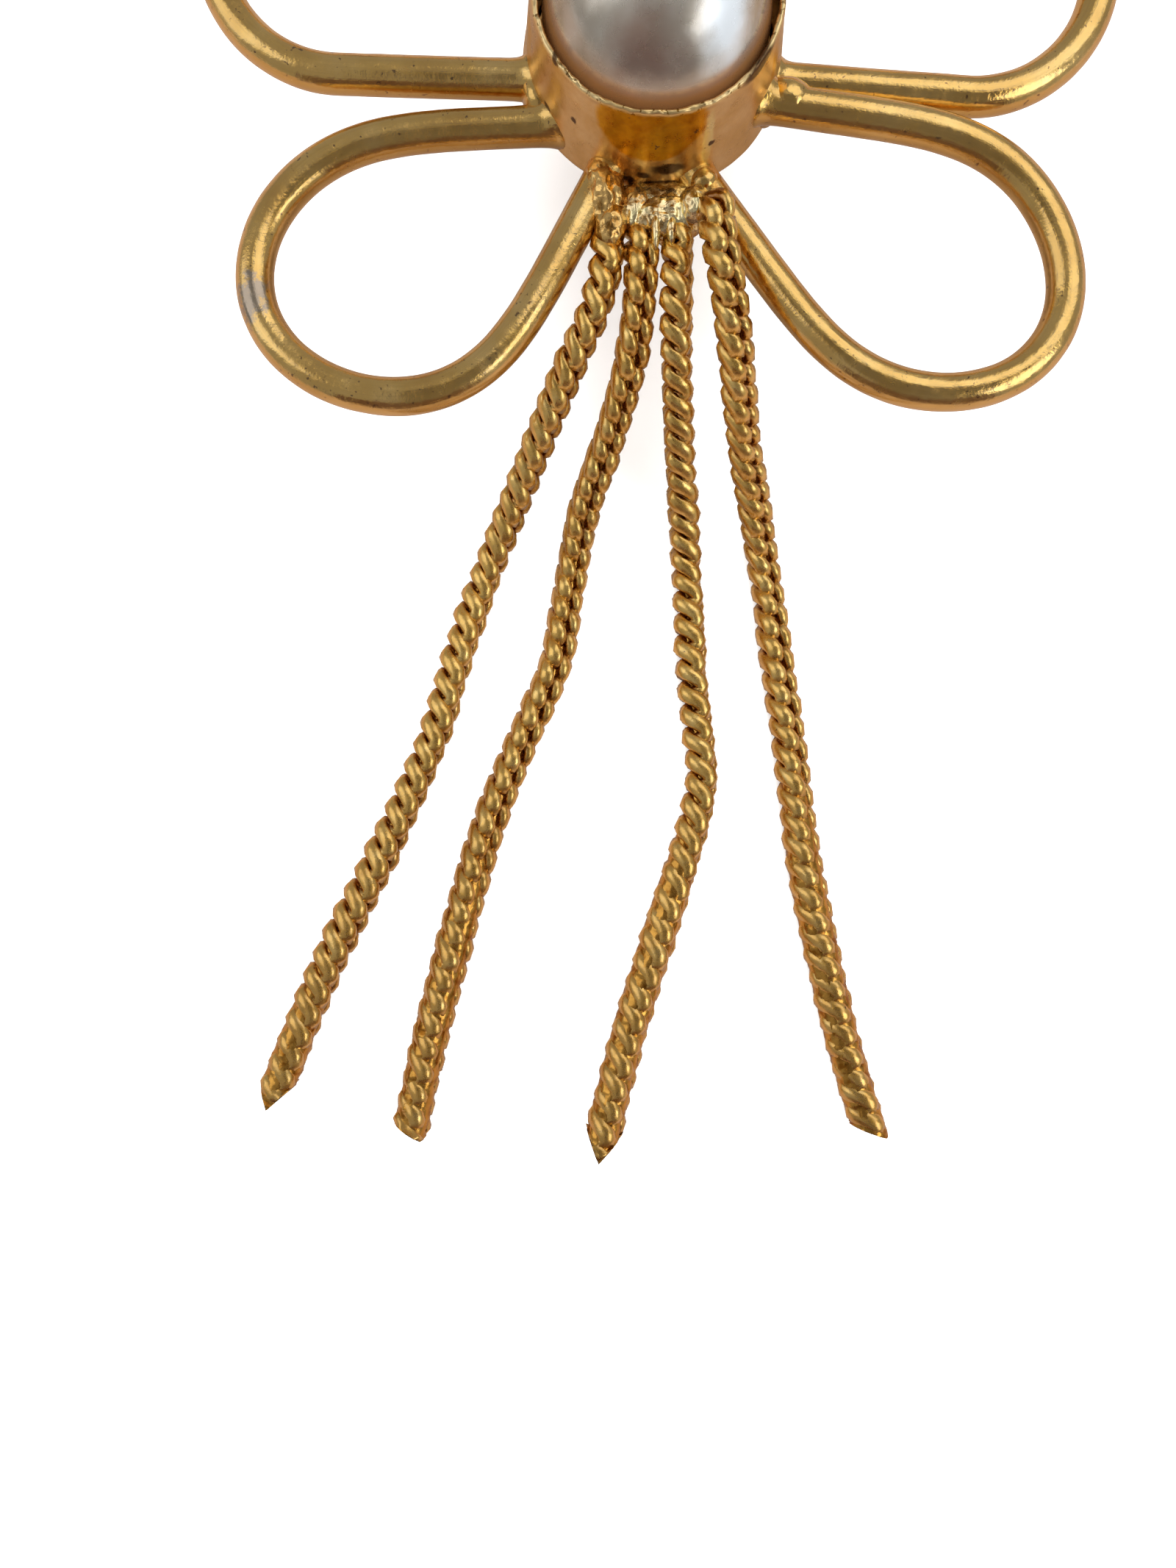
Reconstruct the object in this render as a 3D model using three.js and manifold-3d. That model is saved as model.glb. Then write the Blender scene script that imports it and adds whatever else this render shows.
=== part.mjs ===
// Drop earring: a flower of five gold wire petals round a deep plain cup that holds a
// flat-backed pearl, four fine chain strands soldered below the cup, and a plain ear post.
// It lies on its back with the pearl up: the post's tip and the strands stand on z = 0.
// The strands run towards -Y. Lengths are in millimetres and angles in degrees. Plan
// positions are measured from the cup's axis; the last group moves the middle of the
// whole earring's box over the origin.

import * as THREE from 'three';
import { mergeVertices } from 'three/addons/utils/BufferGeometryUtils.js';
import Module from 'manifold-3d';

const wasm = await Module();
wasm.setup();

// The gap that two touching pieces keep.
const gap = 0.3;

// Ear post and its round pad, behind the cup and towards the top petal.
const postRadius = 0.45;
const postLength = 9.6;
const padRadius = 2.5;
const padThickness = 0.6;
const postShift = 2.0;

// Cup: a straight wall that leans in from the foot to a thin rim, with a flat floor.
const cupBack = postLength + padThickness + gap;
const cupHeight = 6.3;
const footRadius = 6.9;
const rimRadius = 6.2;
const wallThickness = 0.4;
const floorThickness = 0.6;
const cupSides = 48;

// Pearl: a ball cut flat at the cup's floor. Its middle lies this far below the rim.
const pearlRadius = 5.75;
const pearlDepth = 2.0;

// Petals: round wire, bent to a loop whose two legs are soldered into the cup's wall.
// roots are the legs' places round the cup, first leg first, going anticlockwise, and
// lifts are the two legs' heights above the cup's back. centre and radius give the loop's
// round end, stretch lengthens it along the angle lean, and ease is how far to either side
// of a place the bends are smoothed.
const wireRadius = 1.0;
const wireSides = 10;
const rootRadius = 6.6;
const petals = [
  {
    roots: [68, 112], lifts: [1.0, 1.0], centre: [0.2, 17.4], radius: 6.9,
    stretch: 0, lean: 0, ease: 0,
  },
  {
    roots: [140, 193], lifts: [1.0, 1.0], centre: [-16.3, 5.7], radius: 6.9,
    stretch: 0, lean: 0, ease: 0,
  },
  {
    roots: [216.3, 248.5], lifts: [1.0, 1.0], centre: [-13.66, -11.6], radius: 7.34,
    stretch: 0.7, lean: 5, ease: 6.5,
  },
  {
    roots: [290, 331.4], lifts: [0.5, 1.9], centre: [14.72, -11.4], radius: 7.03,
    stretch: 0.96, lean: 145, ease: 6.5,
  },
  {
    roots: [346, 400], lifts: [0.9, 1.0], centre: [16.95, 4.3], radius: 6.65,
    stretch: 0, lean: 0, ease: 0,
  },
];
const rootOverlap = 1.6;
const legPoints = 6;
const endPoints = 16;
const easeSteps = 240;
const petalSteps = 44;

// Solder. The seam is a row of lumps along the lower edge of the cup's wall, one over the
// end of each strand and trimmed flat at its edge, where the strand leaves it. The beads
// fill the corners between two wires. lift is a lump's height above the cup's back.
const seam = [
  { at: [-2.55, -7.6], size: [1.05, 2.8, 1.2], lift: 0.8, edge: -10.0 },
  { at: [-0.6, -7.4], size: [1.2, 2.2, 1.2], lift: 0.8, edge: -9.0 },
  { at: [1.3, -7.4], size: [1.2, 2.2, 1.2], lift: 0.8, edge: -9.0 },
  { at: [2.9, -7.1], size: [1.1, 1.9, 1.5], lift: 2.1, edge: -8.6 },
];
const beads = [
  { at: [7.3, -2.1], size: [1.0, 0.95, 1.0], lift: 2.0 },
  { at: [-6.7, -2.7], size: [0.5, 1.6, 0.6], lift: 1.5 },
];

// Chain strands: eight-sided outer forms of a fine curb chain. Each strand leaves the seam
// level, with its middle lift above the cup's back, comes down to the ground between
// dropStart and dropEnd, and then lies on it. Solder fills it towards the tip, so it grows
// from slimWidth at slimEnd to fullWidth at fullStart. route gives its bends in plan.
const slimWidth = 1.6;
const fullWidth = 2.15;
const slimEnd = -8.0;
const fullStart = -40.0;
const strandSides = 8;
const strandSteps = 20;
const dropStart = -11.0;
const dropEnd = -27.0;
const strands = [
  {
    name: 'chain_1',
    lift: 0.8,
    route: [
      [-2.4, -10.3], [-2.65, -11.9], [-3.4, -13.9], [-4.5, -15.8], [-8.1, -22.5], [-10.0, -26.6],
      [-11.6, -31.3], [-13.0, -35.9], [-15.9, -42.5], [-19.2, -49.2], [-22.0, -56.0], [-22.8, -58.4],
    ],
  },
  {
    name: 'chain_2',
    lift: 0.8,
    route: [
      [-0.6, -9.3], [-0.75, -13.0], [-1.2, -15.8], [-2.3, -19.0], [-3.75, -22.5], [-4.7, -27.0],
      [-5.5, -31.3], [-7.35, -35.6], [-9.2, -40.1], [-10.6, -44.6], [-13.0, -53.7], [-14.4, -60.2],
    ],
  },
  {
    name: 'chain_3',
    lift: 0.8,
    route: [
      [1.3, -9.3], [1.3, -14.0], [1.8, -19.0], [2.35, -23.0], [2.7, -27.5], [2.9, -31.8],
      [3.3, -35.6], [3.5, -38.1], [3.1, -40.6], [1.95, -44.6], [-0.9, -53.7], [-2.9, -61.6],
    ],
  },
  {
    name: 'chain_4',
    lift: 2.75,
    route: [
      [3.15, -8.9], [3.3, -10.8], [4.1, -14.2], [5.3, -19.0], [6.5, -22.5], [7.5, -26.5],
      [8.1, -31.0], [8.8, -35.6], [9.35, -40.1], [10.0, -44.6], [12.0, -53.7], [14.0, -60.4],
    ],
  },
];

// A path whose cross-sections stay level: their first side points straight up or down
// and their second lies flat, so that a tube along it never rolls.
class LevelPath extends THREE.CatmullRomCurve3 {
  computeFrenetFrames(segments) {
    const up = new THREE.Vector3(0, 0, 1);
    const tangents = [];
    const normals = [];
    const binormals = [];
    for (let i = 0; i <= segments; i++) {
      const along = this.getTangentAt(i / segments);
      const across = new THREE.Vector3().crossVectors(along, up).normalize();
      tangents.push(along);
      binormals.push(across);
      normals.push(new THREE.Vector3().crossVectors(across, along));
    }
    return { tangents, normals, binormals };
  }
}

function polar(radius, degrees) {
  const angle = THREE.MathUtils.degToRad(degrees);
  return new THREE.Vector2(radius * Math.cos(angle), radius * Math.sin(angle));
}

// A regular polygon with flat sides up, down, left and right, this far apart.
function tubeSection(width, sides) {
  const cornerRadius = width / 2 / Math.cos(Math.PI / sides);
  const corners = [];
  for (let i = 0; i < sides; i++) {
    corners.push(polar(cornerRadius, (360 * (i + 0.5)) / sides));
  }
  return new THREE.Shape(corners);
}

function tube(path, width, sides, steps) {
  return new THREE.ExtrudeGeometry(tubeSection(width, sides), { steps, extrudePath: path });
}

// Where a straight leg from root meets the circle, on its right or left side.
function tangentPoint(root, centre, radius, side) {
  const reach = centre.clone().sub(root);
  const length = reach.length();
  const turn = Math.asin(radius / length) * side;
  const legLength = Math.sqrt(length * length - radius * radius);
  return reach.rotateAround(new THREE.Vector2(), turn).setLength(legLength).add(root);
}

// The leg's middle line from inside the wall to the loop.
function legLine(root, end) {
  const along = end.clone().sub(root);
  const line = [root.clone().addScaledVector(along.clone().normalize(), -rootOverlap)];
  for (let i = 0; i < legPoints; i++) {
    line.push(root.clone().addScaledVector(along, i / legPoints));
  }
  return line;
}

// The petal's round end, from the first leg round the far side to the second.
function roundEnd(start, finish, centre, petal) {
  const startAngle = start.clone().sub(centre).angle();
  let sweep = finish.clone().sub(centre).angle() - startAngle;
  if (sweep < 0) sweep += 2 * Math.PI;
  const lean = THREE.MathUtils.degToRad(petal.lean);
  const line = [];
  for (let i = 0; i <= endPoints; i++) {
    const t = i / endPoints;
    const angle = startAngle + sweep * t;
    const fade = Math.sin(Math.PI * t) ** 2;
    const radius = petal.radius + petal.stretch * Math.cos(2 * (angle - lean)) * fade;
    line.push(new THREE.Vector2(radius * Math.cos(angle), radius * Math.sin(angle)).add(centre));
  }
  return line;
}

// The line with its bends smoothed: each place is the average of the line to either side of
// it, the nearest counting most, out to this reach or to the nearer end.
function easedLine(line, reach) {
  const curve = new THREE.SplineCurve(line);
  curve.arcLengthDivisions = 1000;
  const even = curve.getSpacedPoints(easeSteps);
  const most = Math.round((reach / curve.getLength()) * easeSteps);
  return even.map((_, i) => {
    const span = Math.min(i, easeSteps - i, most);
    const place = new THREE.Vector2();
    for (let k = -span; k <= span; k++) {
      place.addScaledVector(even[i + k], (span + 1 - Math.abs(k)) / (span + 1) ** 2);
    }
    return place;
  });
}

function petalPath(petal) {
  const centre = new THREE.Vector2(...petal.centre);
  const roots = petal.roots.map((angle) => polar(rootRadius, angle));
  const start = tangentPoint(roots[0], centre, petal.radius, -1);
  const finish = tangentPoint(roots[1], centre, petal.radius, 1);
  const line = [
    ...legLine(roots[0], start),
    ...roundEnd(start, finish, centre, petal),
    ...legLine(roots[1], finish).reverse(),
  ];
  const eased = easedLine(line, petal.ease).filter((_, i) => i % 8 === 0);
  const points = eased.map((p, i) => {
    const lift = THREE.MathUtils.lerp(...petal.lifts, i / (eased.length - 1));
    return new THREE.Vector3(p.x, p.y, cupBack + lift);
  });
  return new LevelPath(points);
}

function strandWidth(y) {
  const slimness = THREE.MathUtils.smoothstep(y, fullStart, slimEnd);
  return THREE.MathUtils.lerp(fullWidth, slimWidth, slimness);
}

// The strand's height over the ground: an even S from the seam down to the ground.
function strandHeight(y, lift) {
  const rise = THREE.MathUtils.smoothstep(y, dropEnd, dropStart);
  return THREE.MathUtils.lerp(strandWidth(y) / 2, cupBack + lift, rise);
}

// The strand's path: its route in plan, with the height that goes with each place.
function strandPath({ route, lift }) {
  const plan = new THREE.SplineCurve(route.map(([x, y]) => new THREE.Vector2(x, y)));
  const line = plan.getSpacedPoints(3 * strandSteps);
  return new LevelPath(line.map((p) => new THREE.Vector3(p.x, p.y, strandHeight(p.y, lift))));
}

// One strand: a tube whose corners are moved out from the nearest of its even steps.
function strandGeometry(strand) {
  const path = strandPath(strand);
  const geometry = tube(path, slimWidth, strandSides, strandSteps);
  const middles = path.getSpacedPoints(strandSteps);
  const corners = geometry.attributes.position;
  const corner = new THREE.Vector3();
  for (let i = 0; i < corners.count; i++) {
    corner.fromBufferAttribute(corners, i);
    const middle = middles.reduce((a, b) => (b.distanceTo(corner) < a.distanceTo(corner) ? b : a));
    corner.sub(middle).multiplyScalar(strandWidth(middle.y) / slimWidth).add(middle);
    corners.setXYZ(i, corner.x, corner.y, corner.z);
  }
  geometry.computeVertexNormals();
  return geometry;
}

// A closed geometry as a solid that can be joined and cut.
function toSolid(geometry) {
  const bare = geometry.clone();
  bare.deleteAttribute('normal');
  bare.deleteAttribute('uv');
  const merged = mergeVertices(bare, 1e-4);
  return new wasm.Manifold(
    new wasm.Mesh({
      numProp: 3,
      vertProperties: new Float32Array(merged.attributes.position.array),
      triVerts: new Uint32Array(merged.index.array),
    }),
  );
}

function toGeometry(solid) {
  const mesh = solid.getMesh();
  const geometry = new THREE.BufferGeometry();
  geometry.setAttribute('position', new THREE.BufferAttribute(mesh.vertProperties, 3));
  geometry.setIndex(new THREE.BufferAttribute(mesh.triVerts, 1));
  geometry.computeVertexNormals();
  return geometry;
}

// A turned shape whose profile [radius, height] runs up from the axis and back to it.
function turned(profile, sides) {
  const points = profile.map(([radius, height]) => new THREE.Vector2(radius, height));
  return new THREE.LatheGeometry(points, sides).rotateX(Math.PI / 2);
}

// The cup's outer wall radius at a height above its back.
function wallRadius(height) {
  return THREE.MathUtils.lerp(footRadius, rimRadius, height / cupHeight);
}

function cupBody() {
  const profile = [[0, 0], [footRadius, 0], [rimRadius, cupHeight], [0, cupHeight]];
  return toSolid(turned(profile, cupSides).translate(0, 0, cupBack));
}

function cupHollow() {
  const brim = cupHeight + 1;
  const profile = [
    [0, floorThickness],
    [wallRadius(floorThickness) - wallThickness, floorThickness],
    [wallRadius(brim) - wallThickness, brim],
    [0, brim],
  ];
  return toSolid(turned(profile, cupSides).translate(0, 0, cupBack));
}

function solderLump({ at, size, lift }) {
  const lump = new THREE.IcosahedronGeometry(1, 2);
  lump.scale(...size);
  lump.translate(at[0], at[1], cupBack + lift);
  return toSolid(lump);
}

// All the room above the cup's back and between a lump's edge and the cup.
function seamRoom(edge) {
  const side = 60;
  const room = new THREE.BoxGeometry(side, side, side);
  room.translate(0, edge + side / 2, cupBack + side / 2);
  return toSolid(room);
}

function flowerGeometry() {
  let flower = cupBody();
  for (const petal of petals) {
    flower = flower.add(toSolid(tube(petalPath(petal), 2 * wireRadius, wireSides, petalSteps)));
  }
  for (const lump of seam) {
    flower = flower.add(solderLump(lump).intersect(seamRoom(lump.edge)));
  }
  for (const bead of beads) {
    flower = flower.add(solderLump(bead));
  }
  return toGeometry(flower.subtract(cupHollow()));
}

// The ball from its flat back on the cup's floor, less the gap, up to its top.
function pearlGeometry() {
  const middle = cupBack + cupHeight - pearlDepth;
  const back = cupBack + floorThickness + gap - middle;
  const start = Math.asin(back / pearlRadius);
  const rings = 14;
  const profile = [[0, back]];
  for (let i = 0; i < rings; i++) {
    const angle = THREE.MathUtils.lerp(start, Math.PI / 2, i / rings);
    profile.push([pearlRadius * Math.cos(angle), pearlRadius * Math.sin(angle)]);
  }
  profile.push([0, pearlRadius]);
  return turned(profile, cupSides).translate(0, 0, middle);
}

function postGeometry() {
  const profile = [
    [0, 0],
    [postRadius, 0],
    [postRadius, postLength],
    [padRadius, postLength],
    [padRadius, postLength + padThickness],
    [0, postLength + padThickness],
  ];
  return turned(profile, 24).translate(0, postShift, 0);
}

function named(name, geometry, material) {
  const mesh = new THREE.Mesh(geometry, material);
  mesh.name = name;
  return mesh;
}

const goldWire = new THREE.MeshStandardMaterial({ color: 0xc49a4a, roughness: 0.28, metalness: 1 });
const goldChain = new THREE.MeshStandardMaterial({ color: 0xb98a35, roughness: 0.35, metalness: 1 });
const goldPost = new THREE.MeshStandardMaterial({ color: 0xc9a35c, roughness: 0.3, metalness: 1 });
const pearl = new THREE.MeshStandardMaterial({ color: 0xcfcac4, roughness: 0.2, metalness: 0 });

const earring = new THREE.Group();
earring.add(named('flower_frame', flowerGeometry(), goldWire));
earring.add(named('pearl', pearlGeometry(), pearl));
for (const strand of strands) {
  earring.add(named(strand.name, strandGeometry(strand), goldChain));
}
earring.add(named('ear_post', postGeometry(), goldPost));

const middle = new THREE.Box3().setFromObject(earring).getCenter(new THREE.Vector3());
earring.position.set(-middle.x, -middle.y, 0);

const group = new THREE.Group();
group.add(earring);

export default group;
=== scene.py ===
"""Drop earring in gold-plated brass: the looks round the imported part.

A flower of five wire petals soldered round a deep cup, a pearl seated in the cup, four curb
chain strands soldered under the cup, and an ear post behind it. The earring lies on its back.
Shapes are worked out in millimetres from the cup's axis, z up from the ground, and put into
the meshes in metres.
"""

import bmesh
import bpy
import numpy as np
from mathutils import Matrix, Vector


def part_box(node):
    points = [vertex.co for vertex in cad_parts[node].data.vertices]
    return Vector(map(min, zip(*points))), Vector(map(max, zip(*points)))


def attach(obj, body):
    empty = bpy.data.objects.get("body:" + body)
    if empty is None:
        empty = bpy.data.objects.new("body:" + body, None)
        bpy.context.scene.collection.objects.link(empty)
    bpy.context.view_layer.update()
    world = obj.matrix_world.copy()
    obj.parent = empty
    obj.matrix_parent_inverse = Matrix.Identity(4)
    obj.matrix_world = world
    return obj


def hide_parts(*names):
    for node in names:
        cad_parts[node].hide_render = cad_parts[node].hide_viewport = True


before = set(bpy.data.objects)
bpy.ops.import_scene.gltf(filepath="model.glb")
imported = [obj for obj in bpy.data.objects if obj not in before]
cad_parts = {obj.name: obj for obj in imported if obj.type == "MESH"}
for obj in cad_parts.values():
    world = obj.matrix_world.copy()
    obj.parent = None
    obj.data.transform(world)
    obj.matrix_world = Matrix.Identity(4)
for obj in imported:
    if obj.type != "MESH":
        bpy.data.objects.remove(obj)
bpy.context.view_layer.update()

MM = 0.001

# The cup's axis is the middle of the pearl, and its back is this much above the post's pad.
PAD_GAP = 0.3
pearl_low, pearl_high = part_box("pearl")
post_low, post_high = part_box("ear_post")
AXIS = np.array([(pearl_low[0] + pearl_high[0]) / 2, (pearl_low[1] + pearl_high[1]) / 2, 0.0])
CUP_BACK = post_high[2] / MM + PAD_GAP

# The cup: a profile of radius and height that goes up the outside of its wall, over the rim from
# RIM_START and down the inside. The wall leans in from the foot to the rim.
CUP_HEIGHT = 6.3
FOOT_RADIUS = 6.9
RIM_RADIUS = 6.2
RIM_START = 5.5
CUP_PROFILE = [
    (0.0, 0.0), (6.72, 0.0), (6.86, 0.06), (6.895, 0.18), (6.24, 5.95), (6.22, 6.16),
    (6.17, 6.27), (6.08, 6.3), (5.99, 6.27), (5.94, 6.16), (5.94, 5.98), (5.97, 5.6),
    (6.42, 0.7), (6.3, 0.6), (0.0, 0.6),
]
CUP_STEP = 0.14
CUP_SIDES = 480

# The pearl: its middle is this far below the rim, and it is cut flat this far above the cup's
# back.
PEARL_RADIUS = 5.75
PEARL_SUNK = 2.0
PEARL_CUT = 0.9
PEARL_ROWS = 120
PEARL_SIDES = 160

# Petals of round wire. A leg's root is on a circle just inside the cup's wall, and the leg
# starts LEG_START further in. A fillet of solder stands round it at the wall, less of it at the
# seam. Bends are smoothed in EASE_STEPS steps.
WIRE_RADIUS = 1.0
WIRE_ROWS = 320
WIRE_SIDES = 28
LEG_START = 1.15
EASE_STEPS = 240
FILLET = 0.26
FILLET_LOST_AT_SEAM = 0.22
FILLET_REACH = 0.28
ROOT_RADIUS = 6.6

# For each petal, roots are the two legs' places round the cup in degrees, lifts their heights
# above the cup's back, centre and radius the round end, stretch and lean its long way, and ease
# how far to either side of a place the bends are smoothed.
PETALS = {
    "petal_top": {
        "roots": (68, 112), "lifts": (1.0, 1.0), "centre": (0.2, 17.4), "radius": 6.9,
        "stretch": 0.0, "lean": 0, "ease": 0.0,
    },
    "petal_upper_left": {
        "roots": (140, 193), "lifts": (1.0, 1.0), "centre": (-16.3, 5.7), "radius": 6.9,
        "stretch": 0.0, "lean": 0, "ease": 0.0,
    },
    "petal_lower_left": {
        "roots": (216.3, 248.5), "lifts": (1.0, 1.0), "centre": (-13.66, -11.6), "radius": 7.34,
        "stretch": 0.7, "lean": 5, "ease": 6.5,
    },
    "petal_lower_right": {
        "roots": (290, 331.4), "lifts": (0.5, 1.9), "centre": (14.72, -11.4), "radius": 7.03,
        "stretch": 0.96, "lean": 145, "ease": 6.5,
    },
    "petal_upper_right": {
        "roots": (346, 400), "lifts": (0.9, 1.0), "centre": (16.95, 4.3), "radius": 6.65,
        "stretch": 0.0, "lean": 0, "ease": 0.0,
    },
}

# Strands: each runs level from the seam, comes down in an even S between the two drop places,
# and lies on the ground to its tip, its middle LYING high, and more as it gets wider. Links and
# solder grow by GROWTH between the two swell places, and the strand is a further FILLING wider
# past the two filling places. The places are along y. FLOOD_SHARE is the share of a strand over
# which solder comes to fill its links.
LYING = 0.95
DROP_START = -11.0
DROP_END = -27.0
SWELL_START = -8.0
SWELL_END = -40.0
GROWTH = 0.14
FILLING_START = -36.0
FILLING_END = -48.0
FILLING = 0.1
FLOOD_SHARE = 0.2
STRAND_ROWS = 900

# Curb links: a link's middle line is half as long, wide and high as LINK_SIZE says, and LEAN out
# of step in its height. Its wire has these half widths outwards and up. The worn strand has this
# half width, less where solder fills the links.
LINK_PITCH = 1.24
LINK_SIZE = (0.8, 0.55, 0.58)
LEAN = 0.5
LINK_STEPS = 18
LINK_WIRE = (0.38, 0.46)
LINK_WIRE_SIDES = 8
WORN_WIDTH = 0.95
WORN_BY_SOLDER = 0.04

# The core of solder inside the links: its radius, what is added where it floods them, and the
# shares of its last radius that close its end to a point.
CORE_RADIUS = 0.4
CORE_FLOOD = 0.41
CORE_ROWS = 520
CORE_SIDES = 26
CORE_END = (0.8, 0.6, 0.4, 0.2, 0.08, 0.0)

# For each strand, lift is its height above the cup's back at the seam, and rolls give how far the
# links are turned about it, in degrees, at its top, a third down, two thirds down and at its tip.
# flood is the share of the way down where solder starts to fill the links. snips are the slants
# of the cut end on its left and right seen from the front, in millimetres back for each
# millimetre off its point, and how far left of the middle the point is.
STRANDS = {
    "chain_1": {
        "lift": 0.8, "rolls": (75, 80, 80, 85), "flood": 0.74, "snips": (1.4, 1.6, 0.1),
        "route": [
            (-2.4, -10.3), (-2.65, -11.9), (-3.4, -13.9), (-4.5, -15.8), (-8.1, -22.5),
            (-10.0, -26.6), (-11.6, -31.3), (-13.0, -35.9), (-15.9, -42.5), (-19.2, -49.2),
            (-22.0, -56.0), (-22.8, -58.4),
        ],
    },
    "chain_2": {
        "lift": 0.8, "rolls": (30, 30, 38, 65), "flood": 0.58, "snips": (0.4, 1.5, -0.85),
        "route": [
            (-0.6, -9.3), (-0.75, -13.0), (-1.2, -15.8), (-2.3, -19.0), (-3.75, -22.5),
            (-4.7, -27.0), (-5.5, -31.3), (-7.35, -35.6), (-9.2, -40.1), (-10.6, -44.6),
            (-13.0, -53.7), (-14.4, -60.2),
        ],
    },
    "chain_3": {
        "lift": 0.8, "rolls": (75, 90, 80, 60), "flood": 0.52, "snips": (1.5, 1.7, -0.1),
        "route": [
            (1.3, -9.3), (1.3, -14.0), (1.8, -19.0), (2.35, -23.0), (2.7, -27.5), (2.9, -31.8),
            (3.3, -35.6), (3.5, -38.1), (3.1, -40.6), (1.95, -44.6), (-0.9, -53.7), (-2.9, -61.6),
        ],
    },
    "chain_4": {
        "lift": 2.75, "rolls": (30, 30, 45, 80), "flood": 0.5, "snips": (0.75, 1.5, -0.85),
        "route": [
            (3.15, -8.9), (3.3, -10.8), (4.1, -14.2), (5.3, -19.0), (6.5, -22.5), (7.5, -26.5),
            (8.1, -31.0), (8.8, -35.6), (9.35, -40.1), (10.0, -44.6), (12.0, -53.7), (14.0, -60.4),
        ],
    },
}


# ---- Surfaces -------------------------------------------------------------------------------


def eased_share(values, start, end):
    """How far the values are on the way from start to end, held between 0 and 1 and eased at
    both ends: three times the share's square, less twice its cube."""
    share = np.clip((values - start) / (end - start), 0.0, 1.0)
    return share * share * (3.0 - 2.0 * share)


def uneven(places, size, seed):
    """Smooth random heights from -1 to 1 at these places.

    Random values stand at the corners of cubes of this size, and repeat after 32 of them. A
    place takes the mean of its cube's eight corners, each weighted by how near the place is
    along every side, eased in and out.
    """
    repeat = 32
    corners = np.random.default_rng(seed).uniform(-1.0, 1.0, (repeat, repeat, repeat))
    cell = np.asarray(places, float) / size
    low = np.floor(cell).astype(int)
    part = eased_share(cell - low, 0.0, 1.0)
    total = np.zeros(cell.shape[:-1])
    for corner in np.ndindex(2, 2, 2):
        step = np.array(corner)
        weight = np.where(step == 1, part, 1.0 - part).prod(axis=-1)
        place = (low + step) % repeat
        total += weight * corners[place[..., 0], place[..., 1], place[..., 2]]
    return total


def wavy(places, seed, *waves):
    """Uneven heights added up. Each wave is a height and a size in millimetres, and the seeds
    go up by one."""
    heights = [
        height * uneven(places, size, seed + number)
        for number, (height, size) in enumerate(waves)
    ]
    return sum(heights)


def crinkled(places, size, seed):
    """Sharp-ridged random heights from about -1 to 1: one less 2.4 times the size of uneven's
    value, taken at three sizes, each half as large and half as high as the last, and divided
    by the sum of their shares."""
    total = np.zeros(np.asarray(places).shape[:-1])
    for octave in range(3):
        height = 1.0 - 2.4 * np.abs(uneven(places, size / 2.0**octave, seed + octave))
        total += height / 2.0**octave
    return total / 1.75


def grid_quads(rows, columns):
    """The quads between neighbouring points of a grid, the last column joined to the first."""
    row = np.arange(rows - 1)[:, None]
    column = np.arange(columns)[None, :]
    after = (column + 1) % columns
    quads = [
        row * columns + column,
        row * columns + after,
        (row + 1) * columns + after,
        (row + 1) * columns + column,
    ]
    return np.stack(np.broadcast_arrays(*quads), axis=-1).reshape(-1, 4)


def facing_out(points, quads):
    """The quads of a closed skin, turned over if they face inwards. They do when the volume
    they enclose, the sum of their triangles' pyramids from the middle, is below nothing."""
    a, b, c, d = (points[quads[:, i]] - points.mean(axis=0) for i in range(4))
    volume = (a * np.cross(b, c)).sum() + (a * np.cross(c, d)).sum()
    return quads if volume > 0.0 else quads[:, ::-1]


def make_piece(name, parts, material, replaces, marks=None):
    """One mesh piece from grids of points in millimetres.

    Each part is a closed skin: a grid of rows by columns whose columns close on themselves.
    Points that fall together, as at a pole, are merged, and every skin faces outwards. marks
    are named values that go with the points.
    """
    corners = []
    quads = []
    count = 0
    for part in parts:
        rows, columns = part.shape[:2]
        corners.append(part.reshape(-1, 3))
        quads.append(facing_out(corners[-1], grid_quads(rows, columns)) + count)
        count += rows * columns
    corners = np.concatenate(corners) * MM + AXIS
    quads = np.concatenate(quads)
    mesh = bpy.data.meshes.new(name)
    mesh.from_pydata(corners.tolist(), [], quads.tolist())
    for mark, values in (marks or {}).items():
        values = np.concatenate([np.asarray(v, float).reshape(-1, 3) for v in values])
        attribute = mesh.attributes.new(mark, "FLOAT_VECTOR", "POINT")
        attribute.data.foreach_set("vector", values.astype(np.float32).ravel())
    work = bmesh.new()
    work.from_mesh(mesh)
    bmesh.ops.remove_doubles(work, verts=work.verts, dist=1e-8)
    work.to_mesh(mesh)
    work.free()
    mesh.polygons.foreach_set("use_smooth", np.full(len(mesh.polygons), True))
    mesh.materials.append(material)
    mesh.update()
    piece = bpy.data.objects.new(name, mesh)
    bpy.context.scene.collection.objects.link(piece)
    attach(piece, "root")
    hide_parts(*replaces)


# ---- Paths and tubes ------------------------------------------------------------------------


def along_length(line):
    """How far along the line each of its points is."""
    steps = np.linalg.norm(np.diff(line, axis=0), axis=1)
    return np.concatenate([[0.0], np.cumsum(steps)])


def on_line(line, values, places):
    """Values given along the line, read at these lengths along it."""
    length = along_length(line)
    return np.stack([np.interp(places, length, values[:, i]) for i in range(3)], axis=-1)


def evenly(line, count):
    """The line's places at even spaces along its length."""
    return on_line(line, line, np.linspace(0.0, along_length(line)[-1], count))


def level_frames(line):
    """At each point the direction along the line, the level one across it, and the one up."""
    ahead = np.gradient(line, axis=0)
    ahead /= np.linalg.norm(ahead, axis=1, keepdims=True)
    across = np.cross(ahead, (0.0, 0.0, 1.0))
    across /= np.linalg.norm(across, axis=1, keepdims=True)
    return ahead, across, np.cross(across, ahead)


def around(sides):
    """Angles at even spaces round a circle."""
    return np.linspace(0.0, 2.0 * np.pi, sides, endpoint=False)


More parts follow.
